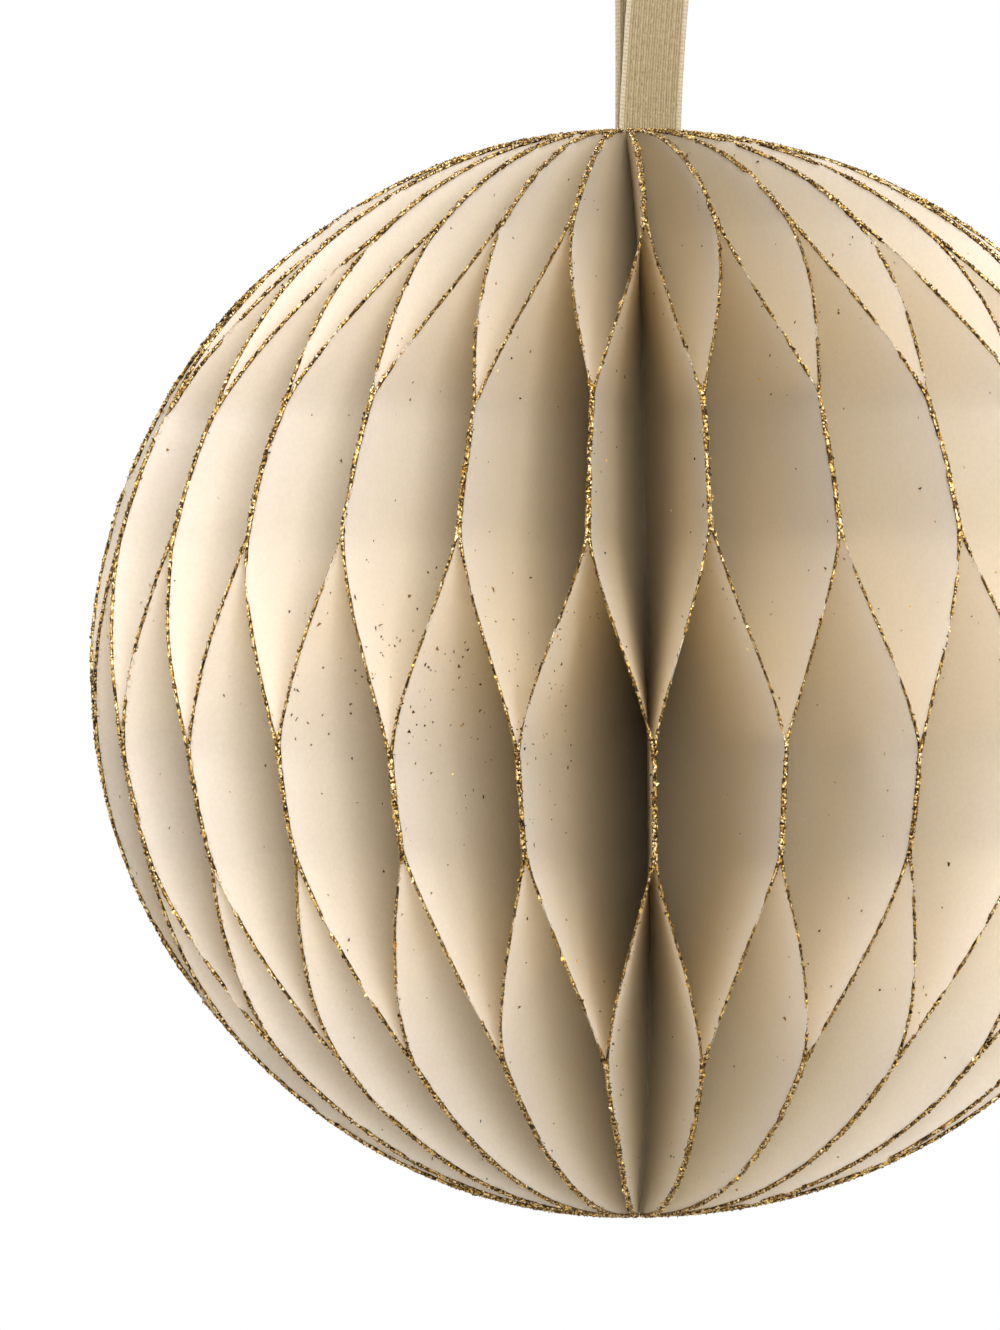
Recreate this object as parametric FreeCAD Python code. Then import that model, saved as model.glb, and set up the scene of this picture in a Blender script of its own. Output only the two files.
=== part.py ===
"""Honeycomb paper ball, hung from a ribbon loop.

Half-disc paper leaves stand around a vertical bead of glue. Each leaf is glued to its neighbours in
horizontal strips, to one side and then to the other, so the leaves zigzag and leave diamond cells
that open outwards. A flat ribbon loop is glued into a cell at the top.

Frame: origin at the centre of the ball, +Z up along the spine, +X to the right of the front view and
-Y towards the viewer. Lengths are in millimetres and angles in degrees.
"""

import FreeCAD
import Part

import math
import os

# Leaves
leaf_radius = 50.0
leaf_thickness = 0.12
leaf_pairs = 24
rim_step = 6.5
fan_steps = 4

# Glue strips. A leaf is bound in them by turns to the leaf before it and to the leaf after it. The
# first and the last strip reach the poles, and their depths are measured from there.
top_strip_depth = 9.4
upper_strip_height = 18.4
upper_strip_width = 12.0
lower_strip_height = -11.3
lower_strip_width = 9.6
bottom_strip_depth = 15.4
turn_ease = 0.25

# The leaves were spread by hand. These are the directions of the planes between leaves that the
# front view shows, from straight ahead, positive to the right. The rest are spaced evenly. The seen
# ones stand closer together in the upper strips, each strip by its own share, from the top down.
seen_directions = (
    -63.1, -55.4, -48.8, -41.2, -34.9, -27.2, -20.6, -13.3,
    -6.2, 0.6, 7.1, 14.1, 21.5, 28.9, 36.3, 44.5, 52.9,
)
strip_spreads = (0.88, 0.93, 0.97, 0.99)
front_azimuth = -90.0

# Bead of glue on the axis
glue_clearance = 0.02

# Ribbon loop
ribbon_width = 6.0
ribbon_thickness = 0.2
ribbon_offset = 2.1
ribbon_place = 24
well_depth = 6.0
well_clearance = 0.05

# Ribbon route, from one glued end to the other: distance in front of the middle of its cell, and
# height above the top of the ball.
ribbon_route = (
    (0.15, -6.0),
    (0.15, 1.0),
    (1.1, 11.0),
    (3.0, 27.0),
    (5.3, 47.0),
    (6.9, 64.0),
    (7.8, 75.0),
    (8.0, 82.5),
    (6.3, 88.6),
    (2.6, 91.8),
    (-2.4, 91.9),
    (-6.2, 88.9),
    (-8.2, 82.9),
    (-7.9, 75.4),
    (-6.9, 63.6),
    (-5.0, 45.0),
    (-3.0, 26.0),
    (-1.2, 10.5),
    (-0.15, 1.2),
    (-0.15, -6.0),
)
bend_share = 0.45

leaf_count = 2 * leaf_pairs


def plane_azimuth(place, strip):
    """Azimuth, in one glue strip, of the radial plane between leaf place - 1 and leaf place."""
    turns, index = divmod(place, leaf_count)
    directions = [direction * strip_spreads[strip] for direction in seen_directions]
    seen = len(directions)
    if index < seen:
        direction = directions[index]
    else:
        hidden_angle = 360.0 + directions[0] - directions[-1]
        step = hidden_angle / (leaf_count - seen + 1)
        direction = directions[-1] + step * (index - seen + 1)
    return front_azimuth + direction + 360.0 * turns


def leaf_angle(number, strip):
    """Angle, in one glue strip, between the two planes that hold one leaf."""
    return plane_azimuth(number + 1, strip) - plane_azimuth(number, strip)


def spine_radius():
    """Smallest radius at which the inner edges of all leaves fit side by side."""
    strips = range(len(strip_spreads))
    narrowest = min(leaf_angle(number, strip) for number in range(leaf_count) for strip in strips)
    return leaf_thickness / math.radians(narrowest)


def well_radius():
    """Radius at which the ribbon's cell is wide enough for the ribbon's two glued ends."""
    half_stack = max(abs(offset) for offset, height in ribbon_route if height < 0.0)
    half_cell = half_stack + ribbon_thickness / 2.0 + leaf_thickness + well_clearance
    narrow_side = min(leaf_angle(ribbon_place - 1, 0), leaf_angle(ribbon_place, 0))
    return half_cell / math.sin(math.radians(narrow_side))


def strip_edges():
    """Top and bottom height of each glue strip, from the top down."""
    return [
        (leaf_radius, leaf_radius - top_strip_depth),
        (upper_strip_height + upper_strip_width / 2.0, upper_strip_height - upper_strip_width / 2.0),
        (lower_strip_height + lower_strip_width / 2.0, lower_strip_height - lower_strip_width / 2.0),
        (bottom_strip_depth - leaf_radius, -leaf_radius),
    ]


def lean(number, height):
    """Azimuth of a leaf at a height, and how far it has turned from its first plane to its second."""
    edges = strip_edges()
    strip = sum(1 for top, bottom in edges if height < bottom)
    held_by = (strip + number + 1) % 2
    azimuth = plane_azimuth(number + held_by, strip)
    share = float(held_by)
    strip_top = edges[strip][0]
    if height > strip_top:
        gap_share = (height - strip_top) / (edges[strip - 1][1] - strip_top)
        eased = gap_share * gap_share * (3.0 - 2.0 * gap_share)
        back = (1.0 - turn_ease) * gap_share + turn_ease * eased
        azimuth += (plane_azimuth(number + 1 - held_by, strip - 1) - azimuth) * back
        share += (1.0 - 2.0 * share) * back
    return azimuth, share


def rim_reach(height):
    """Distance of the rim from the axis at a height: a half disc set out from the axis."""
    return spine_radius() + math.sqrt(max(leaf_radius**2 - height**2, 0.0))


def rim_angle(height):
    """Angle along the rim from the top of the leaf down to a height."""
    return math.degrees(math.acos(height / leaf_radius))


def arc_heights(top, bottom, steps):
    """Heights at equal steps along the rim between two heights."""
    start = rim_angle(top)
    turn = rim_angle(bottom) - start
    inner = [leaf_radius * math.cos(math.radians(start + turn * step / steps)) for step in range(1, steps)]
    return [top] + inner + [bottom]


def leaf_stretches():
    """Stretches of a leaf from the top down, each as its heights and whether it lies in one plane."""
    well_top = math.sqrt(leaf_radius**2 - (well_radius() - spine_radius()) ** 2)
    levels = [edge for pair in strip_edges() for edge in pair]
    levels[0] = well_top
    stretches = []
    for top, bottom in zip(levels, levels[1:]):
        flat = lean(0, top) == lean(0, bottom)
        arc_steps = math.ceil((rim_angle(bottom) - rim_angle(top)) / rim_step)
        stretches.append((arc_heights(top, bottom, arc_steps if flat else fan_steps), flat))
    return stretches


def leaf_point(number, height, reach, side):
    """Point on a leaf. Side 0 is the face towards the leaf before it, side 1 is the other face."""
    azimuth, share = lean(number, height)
    turn = math.radians(azimuth)
    across = leaf_thickness * (side - share)
    return FreeCAD.Vector(
        reach * math.cos(turn) - across * math.sin(turn),
        reach * math.sin(turn) + across * math.cos(turn),
        height,
    )


def facet(points):
    """Flat face with straight edges through the points, leaving out a point that repeats the next."""
    following = points[1:] + points[:1]
    kept = [point for point, after in zip(points, following) if not point.isEqual(after, 1e-6)]
    return Part.Face(Part.makePolygon(kept + kept[:1]))


def edge_facets(number, outline):
    """Facets of the paper's cut edge along an outline of heights and reaches."""
    faces = []
    for start, end in zip(outline, outline[1:]):
        near_start, near_end, far_end, far_start = (
            leaf_point(number, *start, 0),
            leaf_point(number, *end, 0),
            leaf_point(number, *end, 1),
            leaf_point(number, *start, 1),
        )
        if lean(number, start[0]) == lean(number, end[0]):
            faces.append(facet([near_start, near_end, far_end, far_start]))
        else:
            faces.append(facet([near_start, near_end, far_start]))
            faces.append(facet([near_end, far_end, far_start]))
    return faces


def side_facets(number, rim, flat, inner):
    """Facets of both faces of a leaf over one stretch: one if it is flat, else a fan of triangles."""
    faces = []
    for side in (0, 1):
        outer = [leaf_point(number, *spot, side) for spot in rim]
        back = [leaf_point(number, *spot, side) for spot in inner]
        if flat:
            faces.append(facet(outer + back))
            continue
        back.reverse()
        for step in range(len(outer) - 1):
            faces.append(facet([back[step], outer[step], outer[step + 1]]))
            faces.append(facet([back[step], outer[step + 1], back[step + 1]]))
    return faces


def inner_outline(heights, flat, at_top):
    """Inner edge of a stretch from the bottom up. At the top it steps out around the ribbon's well."""
    edge = spine_radius()
    if at_top:
        floor = leaf_radius - well_depth
        step_out = well_radius()
        return [(heights[-1], edge), (floor, edge), (floor, step_out), (heights[0], step_out)]
    if flat:
        return [(heights[-1], edge), (heights[0], edge)]
    return [(height, edge) for height in reversed(heights)]


def make_leaf(number):
    """One paper leaf as a closed solid with straight-edged facets."""
    faces = []
    for index, (heights, flat) in enumerate(leaf_stretches()):
        at_top = index == 0
        rim = [(height, rim_reach(height)) for height in heights]
        inner = inner_outline(heights, flat, at_top)
        faces += side_facets(number, rim, flat, inner)
        faces += edge_facets(number, rim)
        faces += edge_facets(number, inner[:-1] if at_top else inner)
        if at_top:
            faces += edge_facets(number, inner[-2:])
    shell = Part.makeShell(faces)
    shell.sewShape()
    leaf = Part.makeSolid(shell)
    if leaf.Volume < 0.0:
        leaf.reverse()
    return leaf


def make_spine_glue():
    """Bead of glue on the axis that holds the inner edges, from the bottom up to the well's floor."""
    height = 2.0 * leaf_radius - well_depth
    radius = spine_radius() - glue_clearance
    return Part.makeCylinder(radius, height, FreeCAD.Vector(0.0, 0.0, -leaf_radius))


def half_turns(points):
    """Half the angle by which a route turns at each of its inner points."""
    runs = [(after - before).normalize() for before, after in zip(points, points[1:])]
    return [before.getAngle(after) / 2.0 for before, after in zip(runs, runs[1:])]


def bend_radii(points):
    """Largest bend radius that the two runs at each inner point allow."""
    runs = [(after - before).Length for before, after in zip(points, points[1:])]
    return [
        bend_share * min(before, after) / math.tan(half_turn)
        for before, after, half_turn in zip(runs, runs[1:], half_turns(points))
    ]


def shifted_route(points, shift):
    """Route moved sideways in its plane by the same distance everywhere, to the right if positive."""
    runs = [(after - before).normalize() for before, after in zip(points, points[1:])]
    sides = [FreeCAD.Vector(run.z, 0.0, -run.x) for run in runs]
    moved = [points[0] + sides[0] * shift]
    for corner, before, after in zip(points[1:], sides, sides[1:]):
        bisector = (before + after).normalize()
        moved.append(corner + bisector * (shift / bisector.dot(before)))
    moved.append(points[-1] + sides[-1] * shift)
    return moved


def rounded_edges(points, radii):
    """Straight runs joined by tangent arcs of the given radii."""
    edges = []
    start = points[0]
    for index, radius in enumerate(radii):
        before, corner, after = points[index : index + 3]
        half_turn = half_turns([before, corner, after])[0]
        back = (before - corner).normalize()
        ahead = (after - corner).normalize()
        bend_start = corner + back * (radius * math.tan(half_turn))
        bend_end = corner + ahead * (radius * math.tan(half_turn))
        inward = (back + ahead).normalize()
        bend_middle = corner + inward * (radius / math.cos(half_turn) - radius)
        edges.append(Part.LineSegment(start, bend_start).toShape())
        edges.append(Part.Arc(bend_start, bend_middle, bend_end).toShape())
        start = bend_end
    edges.append(Part.LineSegment(start, points[-1]).toShape())
    return edges


def make_ribbon():
    """Flat strip that follows its route, on edge in its cell, with its width set out from the axis."""
    points = [FreeCAD.Vector(offset, 0.0, leaf_radius + height) for offset, height in ribbon_route]
    radii = bend_radii(points)
    turning_right = [
        (corner - before).cross(after - corner).y > 0.0
        for before, corner, after in zip(points, points[1:], points[2:])
    ]
    half = ribbon_thickness / 2.0
    right_radii = [radius - half if right else radius + half for radius, right in zip(radii, turning_right)]
    left_radii = [radius + half if right else radius - half for radius, right in zip(radii, turning_right)]
    right_side = rounded_edges(shifted_route(points, half), right_radii)
    left_side = rounded_edges(shifted_route(points, -half), left_radii)
    ends = [
        Part.LineSegment(left_side[place].Vertexes[vertex].Point, right_side[place].Vertexes[vertex].Point)
        for place, vertex in ((0, 0), (-1, -1))
    ]
    outline = Part.Wire(Part.__sortEdges__(right_side + left_side + [end.toShape() for end in ends]))
    strip = Part.Face(outline).extrude(FreeCAD.Vector(0.0, ribbon_width, 0.0))
    strip.translate(FreeCAD.Vector(0.0, ribbon_offset - ribbon_width / 2.0, 0.0))
    upright = FreeCAD.Vector(0.0, 0.0, 1.0)
    strip.rotate(FreeCAD.Vector(0.0, 0.0, 0.0), upright, plane_azimuth(ribbon_place, 0) - 90.0)

    length = sum(edge.Length for edge in rounded_edges(points, radii))
    print("ribbon length", round(length, 2), "bend radii", [round(radius, 1) for radius in radii])
    print("ribbon volume", round(strip.Volume, 3), "section times length", end=" ")
    print(round(length * ribbon_width * ribbon_thickness, 3))
    return strip


def main():
    """Build every piece and write one STEP file for each."""
    os.makedirs("parts", exist_ok=True)
    for number in range(leaf_count):
        make_leaf(number).exportStep(f"parts/leaf_{number + 1:02d}.step")
    make_spine_glue().exportStep("parts/spine_glue.step")
    make_ribbon().exportStep("parts/hanging_ribbon.step")


main()
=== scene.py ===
"""Honeycomb paper ball ornament: paper leaves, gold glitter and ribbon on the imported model, and a studio.

The ball hangs from its ribbon. Half-disc leaves stand around a bead of glue and are glued to their
neighbours in horizontal strips, to one side and then to the other. Lengths are in metres.
"""

import logging
import math
import random
import sys
from collections.abc import Callable
from dataclasses import dataclass
from enum import Enum
from functools import cached_property, lru_cache

import bmesh
import bpy
from mathutils import Euler, Matrix, Vector, noise

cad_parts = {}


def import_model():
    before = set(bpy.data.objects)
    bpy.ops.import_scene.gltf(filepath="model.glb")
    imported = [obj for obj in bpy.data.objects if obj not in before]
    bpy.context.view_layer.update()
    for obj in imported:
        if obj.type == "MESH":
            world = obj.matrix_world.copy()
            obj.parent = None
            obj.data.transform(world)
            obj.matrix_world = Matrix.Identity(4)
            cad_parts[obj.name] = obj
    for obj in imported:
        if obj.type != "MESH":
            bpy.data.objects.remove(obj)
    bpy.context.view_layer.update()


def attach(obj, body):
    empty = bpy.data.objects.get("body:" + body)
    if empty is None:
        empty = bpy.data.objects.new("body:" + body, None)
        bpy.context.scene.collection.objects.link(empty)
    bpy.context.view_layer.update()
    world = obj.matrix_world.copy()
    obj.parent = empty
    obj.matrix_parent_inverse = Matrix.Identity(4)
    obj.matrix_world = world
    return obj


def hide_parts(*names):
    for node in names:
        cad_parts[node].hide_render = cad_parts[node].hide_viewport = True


LOG = logging.getLogger("paper_ball")
BODY = "root"
MM = 0.001


def smooth_step(value: float) -> float:
    """Ease a value from 0 to 1, held at both ends."""
    held = min(max(value, 0.0), 1.0)
    return held * held * (3.0 - 2.0 * held)


def bump_window(value: float, middle: float, reach: float) -> float:
    """Give a soft bump of height 1 around a middle value.

    Args:
        value: Where the bump is read.
        middle: Place of its top.
        reach: Distance from the top at which it has died away.

    Returns:
        Height of the bump, from 0 to 1.
    """
    return smooth_step(1.0 - abs(value - middle) / reach)


def drift(*place: float) -> float:
    """Give a smooth random number between about -1 and 1 for a place in up to three directions."""
    return noise.noise(Vector((*place, 0.0, 0.0)[:3]))


@dataclass(frozen=True)
class BallShape:
    """Sizes of the ball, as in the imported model, and the small hand-made unevenness of the real one."""

    leaf_radius: float = 50.0 * MM
    leaf_thickness: float = 0.12 * MM
    leaf_count: int = 48
    front_azimuth: float = -90.0
    seen_directions: tuple[float, ...] = (
        -63.1, -55.4, -48.8, -41.2, -34.9, -27.2, -20.6, -13.3,
        -6.2, 0.6, 7.1, 14.1, 21.5, 28.9, 36.3, 44.5, 52.9,
    )
    strip_spreads: tuple[float, ...] = (0.88, 0.93, 0.97, 0.99)
    strips: tuple[tuple[float, float], ...] = (
        (50.0 * MM, 40.6 * MM),
        (24.4 * MM, 12.4 * MM),
        (-6.5 * MM, -16.1 * MM),
        (-34.6 * MM, -50.0 * MM),
    )
    turn_ease: float = 0.25
    strip_wander: float = 0.96 * MM
    rim_wander: float = 0.16 * MM
    ripple: float = 0.07
    pole_bow: float = -1.4 * MM
    bow_reach: float = 32.0 * MM
    bow_power: float = 5.0
    wave_scale: float = 70.0
    dents: tuple[tuple[int, float, float, float, float], ...] = (
        (5, 7.0, 0.80, 5.0, 0.55),
        (6, -4.0, 0.86, 4.5, -0.50),
        (7, 1.0, 0.84, 6.0, 0.45),
        (0, 14.0, 0.90, 4.0, 0.50),
        (4, -21.5, 0.82, 4.0, -0.45),
        (9, 8.0, 0.85, 6.0, 0.40),
        (12, -8.0, 0.86, 5.0, -0.40),
        (21, 6.0, 0.85, 6.0, 0.50),
        (30, -12.0, 0.84, 5.0, -0.45),
        (39, 10.0, 0.86, 5.0, 0.50),
    )
    ribbon_place: int = 24
    ribbon_room: float = 0.42 * MM
    well_floor: float = 44.0 * MM

    @lru_cache(maxsize=None)
    def plane_azimuth(self, place: int, row: int) -> float:
        """Azimuth in radians, in one row of strips, of the plane between leaf place - 1 and leaf place."""
        turns, index = divmod(place, self.leaf_count)
        directions = [direction * self.strip_spreads[row] for direction in self.seen_directions]
        seen = len(directions)
        if index < seen:
            direction = directions[index]
        else:
            hidden = 360.0 + directions[0] - directions[-1]
            step = hidden / (self.leaf_count - seen + 1)
            direction = directions[-1] + step * (index - seen + 1)
        return math.radians(self.front_azimuth + direction + 360.0 * turns)

    @lru_cache(maxsize=None)
    def leaf_angle(self, number: int, row: int) -> float:
        """Angle in radians, in one row of glue strips, between the two planes that hold one leaf."""
        return self.plane_azimuth(number + 1, row) - self.plane_azimuth(number, row)

    @cached_property
    def spine_radius(self) -> float:
        """Smallest radius at which the inner edges of all leaves fit side by side."""
        rows, numbers = range(len(self.strips)), range(self.leaf_count)
        return self.leaf_thickness / min(self.leaf_angle(number, row) for row in rows for number in numbers)

    @lru_cache(maxsize=None)
    def leaf_strips(self, number: int) -> list[tuple[float, float]]:
        """Give the top and bottom of the four glue strips of a leaf, with the wander of each glued pair.

        Args:
            number: The leaf's number, from 0.

        Returns:
            Heights of the strips from the top down.
        """
        found = []
        for row, (top, bottom) in enumerate(self.strips):
            place = (number + (row + number + 1) % 2) % self.leaf_count
            up = self.strip_wander * drift(place * 1.37 + 0.4, row * 2.3 + 0.7, 3.1)
            down = self.strip_wander * drift(place * 1.91 + 0.2, row * 1.7 + 0.3, 8.6)
            found.append((top + up * (row > 0), bottom + down * (row < len(self.strips) - 1)))
        return found

    def lean(self, number: int, height: float) -> tuple[float, float, float]:
        """Tell how a leaf is turned at a height.

        Args:
            number: The leaf's number, from 0.
            height: Height above the ball's middle.

        Returns:
            Its azimuth in radians, the share of the way from its first plane to its second one, and
            the share of the way up through the gap between two glue strips, 0 in a strip.
        """
        strips = self.leaf_strips(number)
        row = min(sum(1 for _, bottom in strips if height < bottom), len(strips) - 1)
        held_by = (row + number + 1) % 2
        azimuth = self.plane_azimuth(number + held_by, row)
        share = float(held_by)
        strip_top = strips[row][0]
        if row == 0 or height <= strip_top:
            return azimuth, share, 0.0
        gap = (height - strip_top) / (strips[row - 1][1] - strip_top)
        back = (1.0 - self.turn_ease) * gap + self.turn_ease * smooth_step(gap)
        above = self.plane_azimuth(number + 1 - held_by, row - 1)
        return azimuth + (above - azimuth) * back, share + (1.0 - 2.0 * share) * back, gap

    def dent(self, number: int, height: float, reach: float) -> float:
        """How far a leaf's face is pushed in at a place, positive towards the leaf after it."""
        pushed = 0.0
        for where, middle, out, size, depth in self.dents:
            if where == number:
                off = math.hypot(height - middle * MM, 0.7 * (reach - out * self.leaf_radius))
                pushed += depth * MM * bump_window(off, 0.0, size * MM)
        return pushed

    def rim_reach(self, height: float) -> float:
        """Distance of the rim from the axis at a height."""
        return self.spine_radius + math.sqrt(max(self.leaf_radius**2 - height**2, 0.0))

    @lru_cache(maxsize=None)
    def well_reach(self, number: int) -> float:
        """Distance from the axis at which a leaf's inner edge clears the ribbon's ends at the top."""
        turn, _, _ = self.lean(number, self.well_floor)
        turn = abs(math.remainder(turn - self.plane_azimuth(self.ribbon_place, 0), 2.0 * math.pi))
        clear = self.ribbon_room / max(math.sin(turn), 0.05) if turn < 1.2 else 0.0
        return max(clear, self.spine_radius)

    def inner_reach(self, number: int, height: float) -> float:
        """Distance of a leaf's inner edge from the axis: it steps out where the ribbon's ends stand."""
        rise = smooth_step((height - self.well_floor + 0.5 * MM) / (1.0 * MM))
        return self.spine_radius + (self.well_reach(number) - self.spine_radius) * rise

    def top_angle(self, number: int) -> float:
        """Angle in radians down from the pole at which a leaf's rim begins."""
        return math.asin((self.well_reach(number) - self.spine_radius) / self.leaf_radius)

    def bowed(self, point: Vector, reach: float) -> Vector:
        """Shift a point by the ball's slight bow: both ends of its core bend to the same side.

        Args:
            point: The point, which is changed.
            reach: Its distance from the axis.

        Returns:
            The same point.
        """
        near_pole = min(abs(point.z) / self.leaf_radius, 1.0) ** self.bow_power
        point.x += self.pole_bow * near_pole * max(1.0 - reach / self.bow_reach, 0.0)
        return point

    def leaf_point(self, number: int, height: float, reach: float, side: float) -> Vector:
        """Find a point of a leaf.

        Args:
            number: The leaf's number, from 0.
            height: Height above the ball's middle.
            reach: Distance from the axis.
            side: 0 on the face towards the leaf before it, 1 on the other face, 0.5 between them.

        Returns:
            The point in the row frame.
        """
        turn, share, gap = self.lean(number, height)
        loose = 4.0 * gap * (1.0 - gap)
        out = reach / self.leaf_radius
        wave = self.ripple * loose * drift(height * self.wave_scale, number * 3.7 + 0.5, out * 1.6)
        turn += self.leaf_angle(number, 1) * wave
        across = self.leaf_thickness * (side - share) + self.dent(number, height, reach)
        point = Vector((
            reach * math.cos(turn) - across * math.sin(turn),
            reach * math.sin(turn) + across * math.cos(turn),
            height,
        ))
        return self.bowed(point, reach)

    def rim_height(self, angle: float) -> float:
        """Height of the rim at an angle in radians down from the top."""
        return self.leaf_radius * math.cos(angle)

    def rim_point(self, number: int, angle: float, side: float = 0.5, inset: float = 0.0) -> Vector:
        """Find a point on the cut edge of a leaf.

        Args:
            number: The leaf's number, from 0.
            angle: Angle down from the top, in radians.
            side: As for leaf_point.
            inset: Distance in from the edge.

        Returns:
            The point in the row frame.
        """
        height = self.rim_height(angle)
        wander = self.rim_wander * drift(angle * 9.0, number * 2.9 + 0.5, 5.5)
        radial = math.sin(angle)
        reach = self.rim_reach(height) + (wander - inset) * radial
        return self.leaf_point(number, height - inset * math.cos(angle), reach, side)


SHAPE = BallShape()


class Board:
    """A material's node tree, with short calls that add and link its nodes."""

    def __init__(self, name: str) -> None:
        """Start an empty material of that name."""
        self.material = bpy.data.materials.new(name)
        self.material.use_nodes = True
        self.tree = self.material.node_tree
        self.tree.nodes.clear()

    def node(self, kind: str, **settings: object) -> bpy.types.Node:
        """Add a node.

        Args:
            kind: Blender's name of the node's class, without its leading ShaderNode.
            settings: Properties of the node, and its inputs' values by name with spaces as underscores.
                A value that is a socket is linked.

        Returns:
            The new node.
        """
        made = self.tree.nodes.new("ShaderNode" + kind)
        for name, value in settings.items():
            if hasattr(made, name):
                setattr(made, name, value)
                continue
            socket = made.inputs[int(name[1:]) if name[1:].isdigit() else name.replace("_", " ")]
            if isinstance(value, bpy.types.NodeSocket):
                self.tree.links.new(value, socket)
            else:
                socket.default_value = value
        return made

    def sum(self, operation: str, *values: object) -> bpy.types.NodeSocket:
        """Add a Math node.

        Args:
            operation: Its operation.
            values: Numbers or sockets, in order.

        Returns:
            Its output.
        """
        return self.node("Math", operation=operation, **{f"_{i}": v for i, v in enumerate(values)}).outputs[0]

    def ramp(self, factor: bpy.types.NodeSocket, *stops: tuple[float, tuple[float, ...]],
             stepped: bool = False) -> bpy.types.NodeSocket:
        """Add a colour ramp.

        Args:
            factor: What it reads.
            stops: Place and linear colour of each stop, the lowest first.
            stepped: True for flat bands of colour.

        Returns:
            Its colour output.
        """
        made = self.node("ValToRGB", Fac=factor)
        band = made.color_ramp
        band.interpolation = "CONSTANT" if stepped else "LINEAR"
        while len(band.elements) < len(stops):
            band.elements.new(0.5)
        for element, (place, colour) in zip(band.elements, stops):
            element.position = place
            element.color = (*colour[:3], 1.0)
        return made.outputs["Color"]

    def mix(self, factor: object, first: object, second: object, blend: str = "MIX") -> bpy.types.NodeSocket:
        """Mix two colours.

        Args:
            factor: Share of the second, a number or socket.
            first: Linear colour or socket.
            second: Linear colour or socket.
            blend: Blend type.

        Returns:
            The mixed colour's socket.
        """
        made = self.node("Mix", data_type="RGBA", blend_type=blend)
        for place, value in ((0, factor), (6, first), (7, second)):
            if isinstance(value, bpy.types.NodeSocket):
                self.tree.links.new(value, made.inputs[place])
            elif place:
                made.inputs[place].default_value = (*value[:3], 1.0)
            else:
                made.inputs[place].default_value = value
        return made.outputs[2]

    def finish(self, shader: bpy.types.NodeSocket) -> bpy.types.Material:
        """Send a shader to the output, and give the finished material."""
        self.tree.links.new(shader, self.node("OutputMaterial").inputs["Surface"])
        return self.material


@dataclass(frozen=True)
class PaperFinish:
    """Smooth matte paper, cream with a faint pearl, that lets some light through; painted shade makes it
    yellower and darker towards the spine.
    """

    cream: tuple[float, float, float] = (0.925, 0.872, 0.80)
    painted_deep_shade: tuple[float, float, float] = (0.925, 0.835, 0.66)
    glow: tuple[float, float, float] = (0.93, 0.82, 0.63)
    dust: tuple[float, float, float] = (0.42, 0.27, 0.09)
    letting_through: float = 0.30
    specular: float = 0.3
    bump_strength: float = 0.14
    roughness: float = 0.58

    def material(self) -> bpy.types.Material:
        """Build the paper's material."""
        board = Board("cream_paper")
        place = board.node("TexCoord").outputs["Object"]
        rim = board.node("UVMap", uv_map="LeafMap").outputs[0]
        out = board.node("SeparateXYZ", Vector=rim).outputs[0]
        out = board.sum("SUBTRACT", 1.0, board.sum("ABSOLUTE", board.sum("MULTIPLY_ADD", out, 2.0, -1.0)))
        clouds = board.node("TexNoise", Vector=place, Scale=55.0, Detail=1.0).outputs[0]
        fibres = board.node("TexNoise", Vector=place, Scale=2600.0, Detail=1.0).outputs[0]
        # Yellower and darker towards the spine, cream at the rim: painted shade of the deep cells, with
        # cloudy random variation.
        depth = board.sum("MULTIPLY_ADD", board.sum("SUBTRACT", clouds, 0.5), 0.25, out)
        tone = board.ramp(depth, (0.50, self.painted_deep_shade), (0.97, self.cream))
        mottle = board.ramp(fibres, (0.35, (0.955, 0.95, 0.94)), (0.65, (1.0, 1.0, 1.0)))
        tone = board.mix(1.0, tone, mottle, "MULTIPLY")
        near_rim = board.node("MapRange", Value=out, From_Min=0.972, From_Max=0.998).outputs[0]
        dusty = board.sum("MULTIPLY", near_rim, board.sum("GREATER_THAN", fibres, 0.60))
        tone = board.mix(board.sum("MULTIPLY", dusty, 0.75), tone, self.dust)
        bump = board.node("Bump", Strength=self.bump_strength, Distance=0.06 * MM, Height=fibres).outputs[0]
        face = board.node("BsdfPrincipled", Base_Color=tone, Roughness=self.roughness, Normal=bump,
                          Specular_IOR_Level=self.specular)
        through = board.node("BsdfTranslucent", Color=(*self.glow, 1.0))
        both = board.node("MixShader", Fac=self.letting_through, _1=face.outputs[0], _2=through.outputs[0])
        return board.finish(both.outputs[0])


class Grain(Enum):
    """Kinds of glitter grain: one gold glitter with light and shade painted in, pale and bright for lit
    grains, two darker kinds for grains in shade.
    """

    BRIGHT = "bright_gold"
    PALE = "pale_gold"
    SHADED_GOLD = "bronze"
    DEEP_SHADED_GOLD = "dark_bronze"


@dataclass(frozen=True)
class GlitterFinish:
    """One kind of metallic glitter grain."""

    grain: Grain
    colour: tuple[float, float, float]
    shade: tuple[float, float, float]
    metal: float
    roughness: float

    @lru_cache(maxsize=None)
    def material(self) -> bpy.types.Material:
        """Build the material that all grains of this kind share; it varies from grain to grain."""
        board = Board(f"glitter_{self.grain.value}")
        place = board.node("TexCoord").outputs["Object"]
        cell = board.node("TexVoronoi", Vector=place, Scale=2600.0).outputs["Color"]
        pick = board.node("SeparateColor", Color=cell).outputs[0]
        tone = board.ramp(pick, (0.1, self.shade), (0.8, self.colour))
        rough = self.roughness
        gloss = board.node("MapRange", Value=pick, To_Min=rough, To_Max=rough + 0.2).outputs[0]
        face = board.node("BsdfPrincipled", Base_Color=tone, Metallic=self.metal, Roughness=gloss)
        return board.finish(face.outputs[0])


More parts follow.
